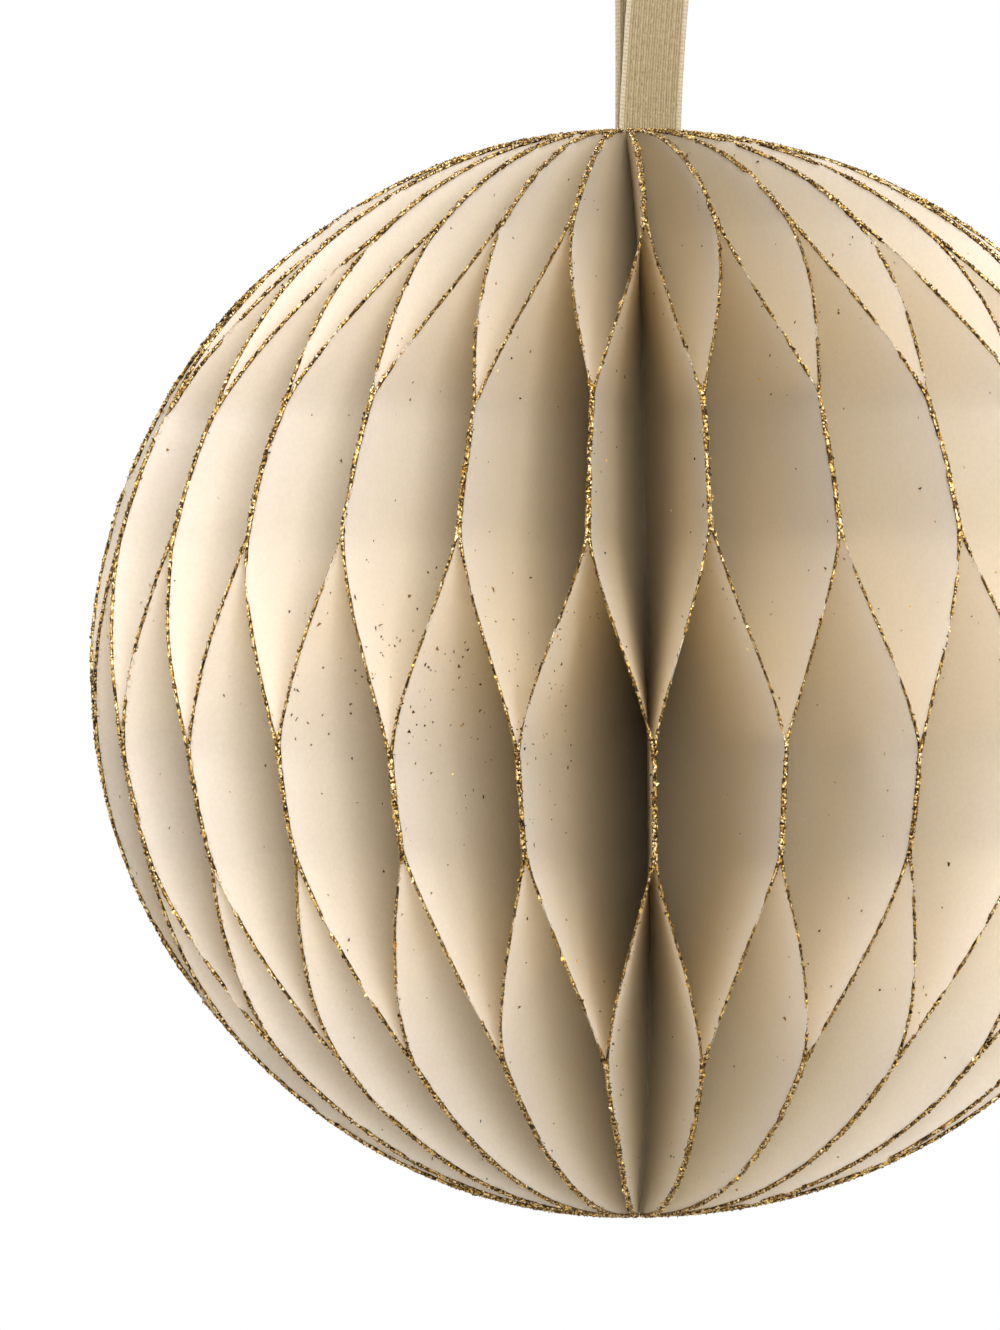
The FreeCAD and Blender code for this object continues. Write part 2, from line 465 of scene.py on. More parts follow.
GRAINS: dict[Grain, GlitterFinish] = {
    finish.grain: finish
    for finish in (
        # One gold glitter painted lit and in shade: pale and bright gold stand for grains that catch the
        # light, the two dark kinds for grains in painted shade.
        GlitterFinish(Grain.BRIGHT, (0.84, 0.54, 0.12), (0.56, 0.32, 0.06), 0.95, 0.30),
        GlitterFinish(Grain.PALE, (0.90, 0.72, 0.36), (0.70, 0.50, 0.19), 0.80, 0.35),
        GlitterFinish(Grain.SHADED_GOLD, (0.24, 0.12, 0.022), (0.12, 0.056, 0.010), 0.95, 0.42),
        GlitterFinish(Grain.DEEP_SHADED_GOLD, (0.055, 0.027, 0.007), (0.018, 0.010, 0.003), 0.95, 0.50),
    )
}


@dataclass(frozen=True)
class FilmFinish:
    """Film of glue full of fine glitter, along the leaves' rims."""

    metal: float = 0.85
    roughness: float = 0.42

    def material(self) -> bpy.types.Material:
        """Build the film's material: packed grains of gold glitter, each painted at a level from deep shade
        to a pale glint.
        """
        board = Board("glitter_film")
        place = board.node("TexCoord").outputs["Object"]
        cells = board.node("TexVoronoi", Vector=place, Scale=5200.0)
        pick = board.node("SeparateColor", Color=cells.outputs["Color"]).outputs[0]
        patches = board.node("TexNoise", Vector=place, Scale=520.0, Detail=2.0).outputs[0]
        mixed = board.sum("ADD", board.sum("MULTIPLY", pick, 0.72),
                          board.sum("MULTIPLY", patches, 0.42))
        # Each grain of the gold is painted at a stepped level, from near-black painted shade to a pale
        # painted glint.
        tone = board.ramp(
            mixed,
            (0.0, (0.022, 0.012, 0.004)),
            (0.36, (0.085, 0.044, 0.010)),
            (0.52, (0.26, 0.14, 0.03)),
            (0.64, (0.56, 0.36, 0.10)),
            (0.78, (0.82, 0.66, 0.36)),
            stepped=True,
        )
        bump = board.node("Bump", Strength=0.8, Distance=0.00008, Height=cells.outputs["Distance"],
                          invert=True).outputs[0]
        face = board.node("BsdfPrincipled", Base_Color=tone, Metallic=self.metal,
                          Roughness=self.roughness, Normal=bump)
        return board.finish(face.outputs[0])


@dataclass(frozen=True)
class RibbonFinish:
    """Woven ribbon, cream gold, ribbed along its length, with brighter selvedges, painted shade in the
    hollows between the ribs and a painted highlight on their tops.
    """

    ground: tuple[float, float, float] = (0.44, 0.35, 0.185)
    rib_top_highlight: tuple[float, float, float] = (0.56, 0.47, 0.285)
    groove_shade: tuple[float, float, float] = (0.27, 0.19, 0.085)
    selvedge: tuple[float, float, float] = (0.74, 0.65, 0.48)
    ribs: int = 24

    def material(self) -> bpy.types.Material:
        """Build the ribbon's material from its own map, u across it and v along it."""
        board = Board("woven_ribbon")
        flat = board.node("UVMap", uv_map="RibbonMap").outputs[0]
        parts = board.node("SeparateXYZ", Vector=flat)
        across, along = parts.outputs[0], parts.outputs[1]
        stretched = board.node("Mapping", Vector=flat, Scale=(60.0, 420.0, 1.0)).outputs[0]
        slubs = board.node("TexNoise", Vector=stretched, Scale=1.0, Detail=3.0).outputs[0]
        swayed = board.sum("MULTIPLY_ADD", board.sum("SUBTRACT", slubs, 0.5), 0.045, across)
        rib = board.sum("SINE", board.sum("MULTIPLY", swayed, 2.0 * math.pi * self.ribs))
        rib = board.sum("MULTIPLY_ADD", rib, 0.5, 0.5)
        lifted = board.sum("MULTIPLY_ADD", across, 0.0035, along)
        lifted = board.sum("MULTIPLY_ADD", slubs, 0.0016, lifted)
        pick = board.sum("SINE", board.sum("MULTIPLY", lifted, 2.0 * math.pi * 560.0))
        pick = board.sum("MULTIPLY_ADD", pick, 0.5, 0.5)
        # Painted shade in the hollows between the ribs, painted highlight on their tops.
        tone = board.mix(rib, self.groove_shade, self.rib_top_highlight)
        tone = board.mix(board.sum("MULTIPLY", pick, 0.55), tone, self.ground)
        edge = board.sum("ABSOLUTE", board.sum("SUBTRACT", across, 0.5))
        edge = board.node("MapRange", Value=edge, From_Min=0.425, From_Max=0.45).outputs[0]
        shown = board.sum("MULTIPLY", edge, board.sum("MULTIPLY_ADD", pick, 0.5, 0.5))
        tone = board.mix(shown, tone, self.selvedge)
        uneven = board.ramp(slubs, (0.3, (0.74, 0.70, 0.62)), (0.7, (1.0, 1.0, 1.0)))
        tone = board.mix(1.0, tone, uneven, "MULTIPLY")
        relief = board.sum("ADD", board.sum("MULTIPLY", rib, 0.6), board.sum("MULTIPLY", pick, 0.4))
        bump = board.node("Bump", Strength=0.6, Distance=0.00004, Height=relief).outputs[0]
        face = board.node("BsdfPrincipled", Base_Color=tone, Roughness=0.5, Normal=bump, Sheen_Weight=0.2)
        through = board.node("BsdfTranslucent", Color=tone, Normal=bump)
        both = board.node("MixShader", Fac=0.15, _1=face.outputs[0], _2=through.outputs[0])
        return board.finish(both.outputs[0])


@dataclass(frozen=True)
class GlueFinish:
    """Dried white glue of the core, browned, with paper dust in it."""

    colour: tuple[float, float, float] = (0.34, 0.24, 0.13)

    def material(self) -> bpy.types.Material:
        """Build the glue's material."""
        board = Board("dried_glue")
        place = board.node("TexCoord").outputs["Object"]
        lumps = board.node("TexNoise", Vector=place, Scale=700.0, Detail=3.0).outputs[0]
        tone = board.ramp(lumps, (0.3, tuple(0.7 * part for part in self.colour)), (0.7, self.colour))
        bump = board.node("Bump", Strength=0.4, Distance=0.0001, Height=lumps).outputs[0]
        face = board.node("BsdfPrincipled", Base_Color=tone, Roughness=0.45, Normal=bump)
        return board.finish(face.outputs[0])


def mapped_grid(columns: int, rows: int, map_name: str,
                place: Callable[[int, int], Vector]) -> bmesh.types.BMesh:
    """Lay a grid of quads over a surface.

    Args:
        columns: Number of faces across.
        rows: Number of faces along.
        map_name: Name of its UV map, which runs from 0 to 1 across and along.
        place: Gives the point for each column line and row line, both counted from 0.

    Returns:
        The grid, with points that meet merged.
    """
    bm = bmesh.new()
    bm.loops.layers.uv.new(map_name)
    bmesh.ops.create_grid(bm, x_segments=columns, y_segments=rows, size=1.0, calc_uvs=True)
    for vertex in bm.verts:
        column = round((vertex.co.x + 1.0) / 2.0 * columns)
        row = round((vertex.co.y + 1.0) / 2.0 * rows)
        vertex.co = place(column, row)
    bmesh.ops.remove_doubles(bm, verts=bm.verts[:], dist=1e-7)
    bmesh.ops.dissolve_degenerate(bm, edges=bm.edges[:], dist=1e-7)
    return bm


def crease(bm: bmesh.types.BMesh, angle: float) -> None:
    """Shade a mesh smoothly except across edges sharper than an angle in degrees."""
    limit = math.radians(angle)
    for face in bm.faces:
        face.smooth = True
    for edge in bm.edges:
        edge.smooth = len(edge.link_faces) == 2 and edge.calc_face_angle(0.0) < limit


def close_shell(bm: bmesh.types.BMesh, angle: float) -> None:
    """Fill a shell's open ends, turn its faces outwards, and crease it above an angle in degrees."""
    bmesh.ops.holes_fill(bm, edges=[edge for edge in bm.edges if edge.is_boundary], sides=0)
    bmesh.ops.recalc_face_normals(bm, faces=bm.faces[:])
    crease(bm, angle)


def to_mesh(name: str, bm: bmesh.types.BMesh) -> bpy.types.Mesh:
    """Turn a bmesh into a mesh of that name, and free it."""
    mesh = bpy.data.meshes.new(name)
    bm.to_mesh(mesh)
    bm.free()
    return mesh


def put_in_scene(name: str, data: bpy.types.ID) -> bpy.types.Object:
    """Make an object of a mesh, a lamp's data or a camera's, and link it to the scene."""
    made = bpy.data.objects.new(name, data)
    bpy.context.scene.collection.objects.link(made)
    return made


def make_piece(name: str, shape: bmesh.types.BMesh | bpy.types.Mesh,
               materials: list[bpy.types.Material]) -> bpy.types.Object:
    """Put a finished shape into the scene as a piece that rides on the ball.

    Args:
        name: The piece's name.
        shape: Its mesh, or a bmesh, which is freed.
        materials: Its materials, or none where the mesh has them already.

    Returns:
        The new object.
    """
    mesh = to_mesh(name, shape) if isinstance(shape, bmesh.types.BMesh) else shape
    piece = put_in_scene(name, mesh)
    for material in materials:
        mesh.materials.append(material)
    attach(piece, BODY)
    LOG.info("%s: %d faces", name, len(mesh.polygons))
    return piece


@dataclass
class PaperLeaves:
    """The 48 paper leaves, each a thin closed sheet that stands for its CAD leaf."""

    shape: BallShape
    columns: int = 14
    strip_rows: int = 7
    gap_rows: int = 15
    air: float = 0.006 * MM
    crowding: float = 1.35

    def levels(self, number: int) -> list[float]:
        """Rim angles in radians of a leaf's row lines, from the top down, with one at each strip's edge."""
        edges = [edge for pair in self.shape.leaf_strips(number) for edge in pair]
        angles = [math.acos(max(min(edge / self.shape.leaf_radius, 1.0), -1.0)) for edge in edges]
        angles[0] = self.shape.top_angle(number)
        found = [angles[0]]
        for index, (start, end) in enumerate(zip(angles, angles[1:])):
            count = self.gap_rows if index % 2 else self.strip_rows
            found += [start + (end - start) * step / count for step in range(1, count + 1)]
        return found

    def build_leaf(self, number: int) -> bmesh.types.BMesh:
        """Shape one leaf: a grid that runs out along one face, round the cut edge and back along the other.

        Args:
            number: The leaf's number, from 0.

        Returns:
            The leaf, a closed sheet as thick as the paper.
        """
        levels = self.levels(number)
        margin = self.air / self.shape.leaf_thickness
        around = 2 * self.columns + 2

        def place(column: int, row: int) -> Vector:
            """Give a grid point of the leaf."""
            angle = levels[row]
            height = self.shape.rim_height(angle)
            column %= around
            back = column > self.columns
            step = around - 1 - column if back else column
            side = 1.0 - margin if back else margin
            if step == self.columns:
                return self.shape.rim_point(number, angle, side)
            outer = self.shape.rim_reach(height)
            inner = min(self.shape.inner_reach(number, height), outer)
            share = 1.0 - (1.0 - step / self.columns) ** self.crowding
            return self.shape.leaf_point(number, height, inner + (outer - inner) * share, side)

        bm = mapped_grid(around, len(levels) - 1, "LeafMap", place)
        bmesh.ops.recalc_face_normals(bm, faces=bm.faces[:])
        crease(bm, 50.0)
        return bm

    def build(self) -> list[bpy.types.Object]:
        """Build and dress all leaves, in order."""
        paper = PaperFinish().material()
        pieces = []
        for number in range(self.shape.leaf_count):
            label = f"leaf_{number + 1:02d}"
            piece = make_piece(f"paper_{label}", self.build_leaf(number), [paper])
            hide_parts(label)
            pieces.append(piece)
        return pieces


@dataclass
class Sprinkler:
    """Lays small chips at marked points, each with its own turn, size and kind."""

    seed: int

    def __post_init__(self) -> None:
        """Make the chips, one of each kind, and start with no points."""
        self.dice = random.Random(self.seed)
        self.points: list[Vector] = []
        self.turns: list[tuple[float, float, float]] = []
        self.sizes: list[tuple[float, float, float]] = []
        self.kinds: list[int] = []
        self.chips = bpy.data.collections.new(f"chips_{self.seed}")
        self.order = sorted(GRAINS, key=lambda grain: grain.value)
        for grain in self.order:
            self.chips.objects.link(self.make_chip(grain))

    def make_chip(self, grain: Grain) -> bpy.types.Object:
        """Make a flat three-cornered chip of one kind, of unit size."""
        bm = bmesh.new()
        bmesh.ops.create_cone(bm, cap_ends=True, segments=3, radius1=0.62, radius2=0.0, depth=0.55)
        bmesh.ops.recalc_face_normals(bm, faces=bm.faces[:])
        mesh = to_mesh(grain.value, bm)
        mesh.materials.append(GRAINS[grain].material())
        return bpy.data.objects.new(f"{grain.value}_{self.seed}", mesh)

    def drop(self, point: Vector, size: float, grain: Grain, flat: float = 0.7) -> None:
        """Mark a chip.

        Args:
            point: Its middle.
            size: Its width.
            grain: Its kind.
            flat: Its height as a share of its width.
        """
        self.points.append(point)
        self.turns.append(tuple(self.dice.uniform(0.0, 2.0 * math.pi) for _ in range(3)))
        self.sizes.append((size, size * self.dice.uniform(0.7, 1.15), size * flat))
        self.kinds.append(self.order.index(grain))

    def pick(self, bright: float) -> Grain:
        """Pick a kind of grain; bright is the share of light ones, from 0 to 1."""
        roll = self.dice.random()
        if roll < bright * 0.62:
            return Grain.BRIGHT
        if roll < bright:
            return Grain.PALE
        return Grain.SHADED_GOLD if roll < bright + (1.0 - bright) * 0.55 else Grain.DEEP_SHADED_GOLD

    def rules(self) -> bpy.types.NodeTree:
        """Build the node group that puts a chip at each point and makes them real."""
        tree = bpy.data.node_groups.new(f"sprinkle_{self.seed}", "GeometryNodeTree")
        for way in ("INPUT", "OUTPUT"):
            tree.interface.new_socket("Geometry", in_out=way, socket_type="NodeSocketGeometry")
        add, link = tree.nodes.new, tree.links.new
        start, end = add("NodeGroupInput"), add("NodeGroupOutput")
        chips, lay = add("GeometryNodeCollectionInfo"), add("GeometryNodeInstanceOnPoints")
        turn, real = add("FunctionNodeEulerToRotation"), add("GeometryNodeRealizeInstances")
        chips.inputs["Collection"].default_value = self.chips
        chips.inputs["Separate Children"].default_value = True
        chips.inputs["Reset Children"].default_value = True
        lay.inputs["Pick Instance"].default_value = True
        for name, kind, socket in (("kind", "INT", lay.inputs["Instance Index"]),
                                   ("turn", "FLOAT_VECTOR", turn.inputs[0]),
                                   ("size", "FLOAT_VECTOR", lay.inputs["Scale"])):
            read = add("GeometryNodeInputNamedAttribute")
            read.data_type = kind
            read.inputs["Name"].default_value = name
            link(next(out for out in read.outputs if out.enabled), socket)
        link(start.outputs[0], lay.inputs["Points"])
        link(chips.outputs[0], lay.inputs["Instance"])
        link(turn.outputs[0], lay.inputs["Rotation"])
        link(lay.outputs[0], real.inputs[0])
        link(real.outputs[0], end.inputs[0])
        return tree

    def build(self, name: str, slot: str) -> bpy.types.Object:
        """Lay all marked chips as one piece.

        Args:
            name: The piece's name.
            slot: Not used.

        Returns:
            The new object.
        """
        marks = bpy.data.meshes.new(f"{name}_marks")
        marks.from_pydata(self.points, [], [])
        for label, values in (("turn", self.turns), ("size", self.sizes)):
            spread = [part for value in values for part in value]
            marks.attributes.new(label, "FLOAT_VECTOR", "POINT").data.foreach_set("vector", spread)
        marks.attributes.new("kind", "INT", "POINT").data.foreach_set("value", self.kinds)
        carrier = put_in_scene(f"{name}_marks", marks)
        carrier.modifiers.new("sprinkle", "NODES").node_group = self.rules()
        laid = carrier.evaluated_get(bpy.context.evaluated_depsgraph_get())
        mesh = bpy.data.meshes.new_from_object(laid)
        bpy.data.objects.remove(carrier)
        for label in ("turn", "size", "kind"):
            if label in mesh.attributes:
                mesh.attributes.remove(mesh.attributes[label])
        mesh.name = name
        return make_piece(name, mesh, [])


@dataclass
class RimGlitter:
    """Gold glitter along the cut edge of each leaf: a thin lumpy film, and grains that stand in it."""

    shape: BallShape
    leaves_each: int = 8
    around: int = 6
    rows: int = 300
    free_half_width: float = 0.11 * MM
    glued_half_width: float = 0.19 * MM
    depth: float = 0.17 * MM
    inset: float = 0.06 * MM
    grains_per_mm: float = 13.0
    grain_size: float = 0.155
    grain_spread: float = 0.34
    grain_limit: float = 0.36
    shine: float = 0.28
    shine_swing: float = 0.60
    bare_above: float = 0.40
    end_angle: float = 0.012

    def width(self, number: int, angle: float) -> float:
        """Half width of the film across the leaf, which is wider where two rims are glued."""
        height = self.shape.rim_height(angle)
        _, _, gap = self.shape.lean(number, height)
        free = smooth_step(min(gap, 1.0 - gap) / 0.10) if gap else 0.0
        base = self.glued_half_width + (self.free_half_width - self.glued_half_width) * free
        return base * (1.0 + 0.35 * drift(angle * 60.0, number * 1.7 + 0.5, 2.2))

    def cover(self, number: int, angle: float) -> float:
        """How well glitter covers the rim at a place, from 0 where it is bare to 1."""
        return smooth_step((self.bare_above - drift(angle * 13.0, number * 2.1 + 0.5, 7.7)) / 0.10)

    def around_rim(self, number: int, angle: float, turn: float, swell: float) -> Vector:
        """Find a point around the rim.

        Args:
            number: The leaf's number, from 0.
            angle: Angle down from the top, in radians.
            turn: Angle around the rim, 0 straight out.
            swell: Distance from the rim's line as a share of the film's.

        Returns:
            The point in the row frame.
        """
        edge = self.shape.rim_point(number, angle)
        side = self.shape.rim_point(number, angle, side=1.5) - edge
        side.normalize()
        step = 0.004
        along = self.shape.rim_point(number, angle + step) - self.shape.rim_point(number, angle - step)
        outward = side.cross(along).normalized()
        if outward.dot(Vector((edge.x, edge.y, edge.z))) < 0.0:
            outward.negate()
        sideways = side * (math.sin(turn) * self.width(number, angle) * swell)
        return edge + sideways + outward * ((math.cos(turn) * self.depth - self.inset) * swell)

    def film(self, number: int) -> bmesh.types.BMesh:
        """Shape the film along one leaf's rim."""
        first, last = self.shape.top_angle(number) + self.end_angle, math.pi - self.end_angle

        def place(column: int, row: int) -> Vector:
            """Find a grid point of the film."""
            angle = first + (last - first) * row / self.rows
            turn = 2.0 * math.pi * (column % self.around) / self.around
            lump = 1.0 + 0.30 * drift(angle * 150.0, turn * 0.8, number * 1.3 + 0.5)
            lump *= 0.3 + 0.7 * self.cover(number, angle)
            if row in (0, self.rows):
                lump = 0.02
            return self.around_rim(number, angle, turn, lump)

        bm = mapped_grid(self.around, self.rows, "FilmMap", place)
        close_shell(bm, 80.0)
        return bm

    def sprinkle(self, number: int, sprinkler: Sprinkler) -> None:
        """Mark the grains along one leaf's rim."""
        dice = sprinkler.dice
        length = math.pi * self.shape.leaf_radius / MM
        for _ in range(round(length * self.grains_per_mm)):
            angle = dice.uniform(self.shape.top_angle(number) + 0.01, math.pi - 0.01)
            if dice.random() > 0.15 + 0.85 * self.cover(number, angle):
                continue
            shine = self.shine + self.shine_swing * drift(angle * 40.0, number * 1.1 + 0.5, 1.4)
            turn = dice.gauss(0.0, 1.1)
            size = dice.lognormvariate(math.log(self.grain_size), self.grain_spread)
            size = min(size, self.grain_limit) * MM
            point = self.around_rim(number, angle, turn, dice.uniform(0.8, 1.15))
            sprinkler.drop(point, size, sprinkler.pick(min(max(shine, 0.06), 0.85)))

    def build(self) -> list[bpy.types.Object]:
        """Build the films and the grains of all rims, some leaves to a piece."""
        coat = FilmFinish().material()
        pieces = []
        for first in range(0, self.shape.leaf_count, self.leaves_each):
            numbers = range(first, first + self.leaves_each)
            index = first // self.leaves_each + 1
            joined = bmesh.new()
            for number in numbers:
                mesh = to_mesh("film", self.film(number))
                joined.from_mesh(mesh)
                bpy.data.meshes.remove(mesh)
            pieces.append(make_piece(f"rim_film_{index}", joined, [coat]))
            sprinkler = Sprinkler(index)
            for number in numbers:
                self.sprinkle(number, sprinkler)
            pieces.append(sprinkler.build(f"rim_glitter_{index}", "gold_glitter"))
        return pieces


@dataclass
class LooseSpecks:
    """Grains of glitter that fell on the leaves' faces and stuck there."""

    shape: BallShape
    everywhere: int = 3600
    patch: int = 260
    patch_leaves: tuple[int, ...] = (3, 4, 4, 5, 5, 6, 7)
    patch_height: float = -2.5
    patch_spread: float = 6.0
    size: float = 0.25
    size_spread: float = 0.36
    size_limit: float = 0.55
    bright: float = 0.15
    flat: float = 0.35

    def build(self) -> bpy.types.Object:
        """Scatter the specks, all as one piece."""
        sprinkler = Sprinkler(90)
        dice = sprinkler.dice
        for index in range(self.everywhere + self.patch):
            number = dice.randrange(self.shape.leaf_count)
            height = self.shape.leaf_radius * dice.uniform(-0.95, 0.95)
            out = 1.0 - abs(dice.gauss(0.0, 0.22))
            side = dice.choice((-0.15, 1.15))
            if index < self.patch:
                number = dice.choice(self.patch_leaves)
                height = dice.gauss(self.patch_height, self.patch_spread) * MM
                side = 1.15
            rim = self.shape.rim_reach(height)
            reach = max(self.shape.spine_radius + 2.0 * MM, rim * out)
            point = self.shape.leaf_point(number, height, reach, side)
            size = min(dice.lognormvariate(math.log(self.size), self.size_spread), self.size_limit)
            sprinkler.drop(point, size * MM, sprinkler.pick(self.bright), self.flat)
        return sprinkler.build("loose_specks", "gold_glitter")


@dataclass
class RibbonLoop:
    """The hanging loop: one flat woven ribbon, both of whose ends are glued in at the top."""

    shape: BallShape
    width: float = 6.0 * MM
    thickness: float = 0.20 * MM
    offset: float = 2.1 * MM
    length: float = 204.9 * MM
    columns: int = 52
    rows: int = 320
    ribs: int = 13
    rib_height: float = 0.02 * MM
    side_bow: float = 1.6 * MM
    loop_height: float = 92.5
    route: tuple[tuple[float, float], ...] = (
        (0.15, -6.0), (0.15, 1.0), (1.1, 11.0), (3.0, 27.0), (5.3, 47.0), (6.9, 64.0), (7.8, 75.0),
        (8.0, 82.5), (6.3, 88.6), (2.6, 91.8), (-2.4, 91.9), (-6.2, 88.9), (-8.2, 82.9), (-7.9, 75.4),
        (-6.9, 63.6), (-5.0, 45.0), (-3.0, 26.0), (-1.2, 10.5), (-0.15, 1.2), (-0.15, -6.0),
    )

    @property
    def across(self) -> Vector:
        """Direction of the ribbon's width, straight out from the axis."""
        turn = self.shape.plane_azimuth(self.shape.ribbon_place, 0)
        return Vector((math.cos(turn), math.sin(turn), 0.0))

    @property
    def forward(self) -> Vector:
        """Direction from the middle of the ribbon's cell to the front strand."""
        return self.across.cross(Vector((0.0, 0.0, 1.0)))

    def route_point(self, ahead: float, height: float) -> Vector:
        """Point of the route, from its distance ahead of the cell's middle and height, both in mm."""
        point = self.across * self.offset + self.forward * (ahead * MM)
        point.z = self.shape.leaf_radius + height * MM
        lean = self.side_bow * math.sin(math.pi * max(height, 0.0) / self.loop_height)
        point.x += self.shape.pole_bow + lean
        return point

    def path(self) -> list[Vector]:
        """Follow the smooth line through the loop.

        Returns:
            Evenly read points of the route's own smooth curve, one more than the rows.
        """
        curve = bpy.data.curves.new("ribbon_route", "CURVE")
        curve.dimensions = "3D"
        curve.resolution_u = 24
        spline = curve.splines.new("NURBS")
        spline.points.add(len(self.route) - 1)
        for target, (ahead, height) in zip(spline.points, self.route):
            target.co = (*self.route_point(ahead, height), 1.0)
        spline.order_u = 3
        spline.use_endpoint_u = True
        carrier = bpy.data.objects.new("ribbon_route", curve)
        mesh = bpy.data.meshes.new_from_object(carrier)
        line = [vertex.co.copy() for vertex in mesh.vertices]
        bpy.data.objects.remove(carrier)
        lengths = [0.0]
        for before, after in zip(line, line[1:]):
            lengths.append(lengths[-1] + (after - before).length)
        points, index = [], 0
        for row in range(self.rows + 1):
            wanted = lengths[-1] * row / self.rows
            while index < len(line) - 2 and lengths[index + 1] < wanted:
                index += 1
            share = (wanted - lengths[index]) / (lengths[index + 1] - lengths[index])
            points.append(line[index].lerp(line[index + 1], share))
        return points

    def build(self) -> bpy.types.Object:
        """Weave the ribbon along its path."""
        points = self.path()
        across = self.across

        def place(column: int, row: int) -> Vector:
            """Find a grid point on the ribbon's face."""
            before, after = points[max(row - 1, 0)], points[min(row + 1, self.rows)]
            normal = (after - before).normalized().cross(across)
            share = column / self.columns
            edge = abs(share - 0.5) * 2.0
            rib = self.rib_height * math.cos(2.0 * math.pi * self.ribs * share)
            curl = 0.16 * MM * smooth_step((edge - 0.7) / 0.3) * drift(row * 0.03, share * 3.0, 4.4)
            wobble = 0.07 * MM * drift(row * 0.08, 2.0 + round(share), 6.6)
            flat = (share - 0.5) * self.width
            lift = rib + curl - self.thickness / 2.0
            return points[row] + across * (flat + wobble * edge) + normal * lift

        bm = mapped_grid(self.columns, self.rows, "RibbonMap", place)
        bmesh.ops.solidify(bm, geom=bm.faces[:], thickness=-self.thickness)
        crease(bm, 60.0)
        ribbon = make_piece("woven_ribbon", bm, [RibbonFinish().material()])
        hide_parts("hanging_ribbon")
        tuple(points[0])
        [tuple(point) for point in points]
        return ribbon


@dataclass
class SpineBead:
    """The bead of glue along the ball's axis, on which the leaves' inner edges meet."""

    shape: BallShape
    around: int = 24
    rows: int = 60

    def build(self) -> bpy.types.Object:
        """Shape the bead, a little uneven."""
        radius = self.shape.spine_radius - 0.03 * MM
        low, high = -self.shape.leaf_radius, self.shape.well_floor

        def place(column: int, row: int) -> Vector:
            """Find a grid point on the bead's side."""
            height = low + (high - low) * row / self.rows
            turn = 2.0 * math.pi * (column % self.around) / self.around
            size = radius * (0.97 + 0.03 * drift(height * 300.0, turn, 3.3))
            if row in (0, self.rows):
                size *= 0.9
            return self.shape.bowed(Vector((size * math.cos(turn), size * math.sin(turn), height)), size)

        bm = mapped_grid(self.around, self.rows, "BeadMap", place)
        close_shell(bm, 60.0)
        bead = make_piece("core_glue", bm, [GlueFinish().material()])
        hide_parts("spine_glue")
        return bead


@dataclass(frozen=True)
class Lamp:
    """One square softbox that faces the ball."""

    name: str
    place: tuple[float, float, float]
    size: float
    watts: float
    colour: tuple[float, float, float] = (1.0, 0.99, 0.97)

    def hang(self) -> None:
        """Put the lamp in its place."""
        data = bpy.data.lights.new(self.name, "AREA")
        data.shape = "SQUARE"
        data.size, data.energy, data.color = self.size, self.watts, self.colour
        lamp = put_in_scene(self.name, data)
        lamp.location = self.place
        lamp.rotation_euler = (-Vector(self.place)).to_track_quat("-Z", "Y").to_euler()


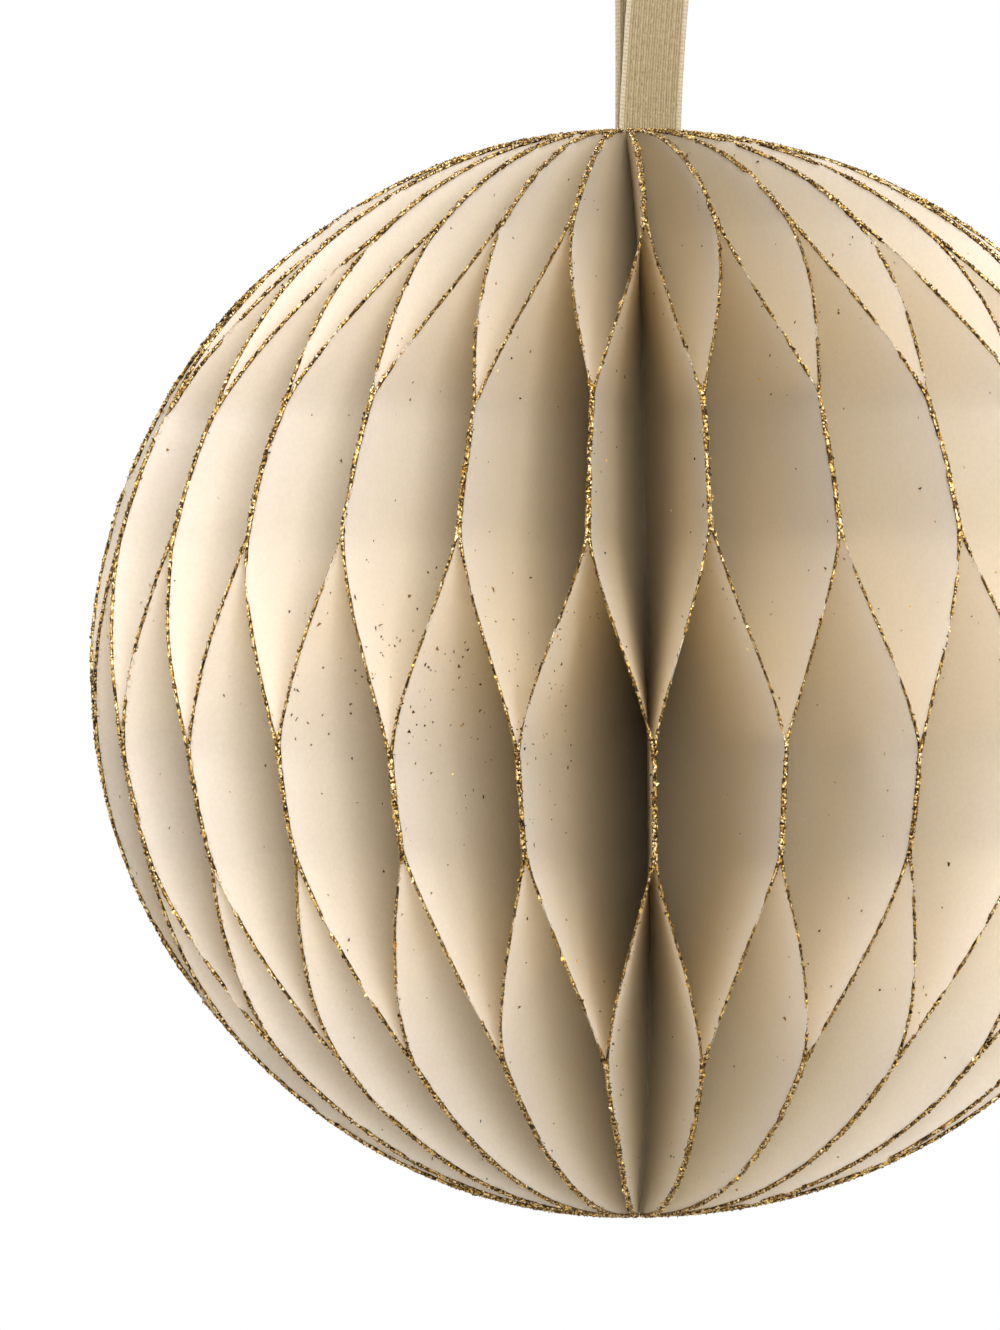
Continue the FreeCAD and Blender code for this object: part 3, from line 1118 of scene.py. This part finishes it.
@dataclass
class Studio:
    """Camera at the photograph's angle, soft lights, a pale floor and a white background."""

    distance: float = 0.831
    frame_height: float = 122.9 * MM
    frame_pixels: tuple[int, int] = (1000, 1330)
    ball_pixel: tuple[float, float] = (647.0, 673.0)
    roll: float = 0.64
    floor_height: float = -0.115
    floor_radius: float = 0.50
    world_level: float = 0.20
    bounces: int = 7
    lamps: tuple[Lamp, ...] = (
        Lamp("key", (0.20, -1.16, 0.16), 0.50, 9.6, (1.0, 0.99, 0.98)),
        Lamp("side", (0.58, -0.98, 0.40), 0.60, 1.2, (1.0, 0.98, 0.95)),
        Lamp("high", (0.08, -0.60, 1.03), 0.50, 9.4, (1.0, 0.985, 0.965)),
        Lamp("back", (-0.30, 1.10, 0.40), 0.70, 9.0),
        Lamp("left", (-1.15, 0.20, 0.32), 0.60, 4.0),
        Lamp("right", (1.15, 0.32, 0.32), 0.60, 3.6),
    )

    def place_camera(self) -> None:
        """Place the camera, level and far off, with the ball to the right of the frame's middle."""
        data = bpy.data.cameras.new("camera")
        data.sensor_width = 36.0
        data.lens = data.sensor_width * self.distance / self.frame_height
        wide, high = self.frame_pixels
        data.shift_x = -(self.ball_pixel[0] - wide / 2.0) / high
        data.shift_y = (self.ball_pixel[1] - high / 2.0) / high
        data.clip_start, data.clip_end = 0.01, 20.0
        camera = put_in_scene("camera", data)
        camera.location = (0.0, -self.distance, 0.0)
        camera.rotation_euler = Euler((math.radians(90.0), math.radians(self.roll), 0.0))
        bpy.context.scene.camera = camera

    @staticmethod
    def whiten(tree: bpy.types.NodeTree, plain: bpy.types.NodeSocket) -> None:
        """Show the world as plain white to the camera and in reflections, and as it is to the light.

        Args:
            tree: The world's node tree.
            plain: Shader that the light meets.
        """
        nodes, links = tree.nodes, tree.links
        path = nodes.new("ShaderNodeLightPath")
        seen = path.outputs["Is Camera Ray"]
        for name in ("Is Glossy Ray", "Is Transmission Ray"):
            either = nodes.new("ShaderNodeMath")
            either.operation = "MAXIMUM"
            links.new(seen, either.inputs[0])
            links.new(path.outputs[name], either.inputs[1])
            seen = either.outputs[0]
        white = nodes.new("ShaderNodeBackground")
        white.inputs["Color"].default_value = (1.0, 1.0, 1.0, 1.0)
        white.inputs["Strength"].default_value = 1.0
        mix = nodes.new("ShaderNodeMixShader")
        for place, socket in enumerate((seen, plain, white.outputs[0])):
            links.new(socket, mix.inputs[place])
        links.new(mix.outputs[0], nodes["World Output"].inputs[0])

    def build(self) -> None:
        """Set up the world, the floor and the lights."""
        world = bpy.data.worlds.new("studio")
        world.use_nodes = True
        bpy.context.scene.world = world
        tree = world.node_tree
        light = tree.nodes["Background"]
        light.inputs["Color"].default_value = (1.0, 0.985, 0.96, 1.0)
        light.inputs["Strength"].default_value = self.world_level
        self.whiten(tree, light.outputs[0])
        bm = bmesh.new()
        bmesh.ops.create_circle(bm, cap_ends=True, segments=96, radius=self.floor_radius,
                                matrix=Matrix.Translation((0.0, 0.0, self.floor_height)))
        floor = put_in_scene("floor", to_mesh("floor", bm))
        board = Board("pale_floor")
        place = board.node("TexCoord").outputs["Object"]
        haze = board.node("TexNoise", Vector=place, Scale=6.0, Detail=2.0).outputs[0]
        tone = board.ramp(haze, (0.3, (0.80, 0.79, 0.77)), (0.7, (0.84, 0.83, 0.81)))
        plain = board.node("BsdfPrincipled", Base_Color=tone, Roughness=0.9)
        floor.data.materials.append(board.finish(plain.outputs[0]))
        for lamp in self.lamps:
            lamp.hang()
        bpy.context.scene.view_settings.view_transform = "Standard"
        bpy.context.scene.cycles.diffuse_bounces = self.bounces - 1
        bpy.context.scene.cycles.max_bounces = self.bounces


def main() -> None:
    """Load the frame, then build the camera, the ribbon, the ball and the studio in order."""
    logging.basicConfig(level=logging.INFO, format="%(name)s: %(message)s", stream=sys.stdout)
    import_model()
    studio = Studio()
    studio.place_camera()
    RibbonLoop(SHAPE).build()
    PaperLeaves(SHAPE).build()
    SpineBead(SHAPE).build()
    RimGlitter(SHAPE).build()
    LooseSpecks(SHAPE).build()
    studio.build()


if __name__ == "__main__":
    main()
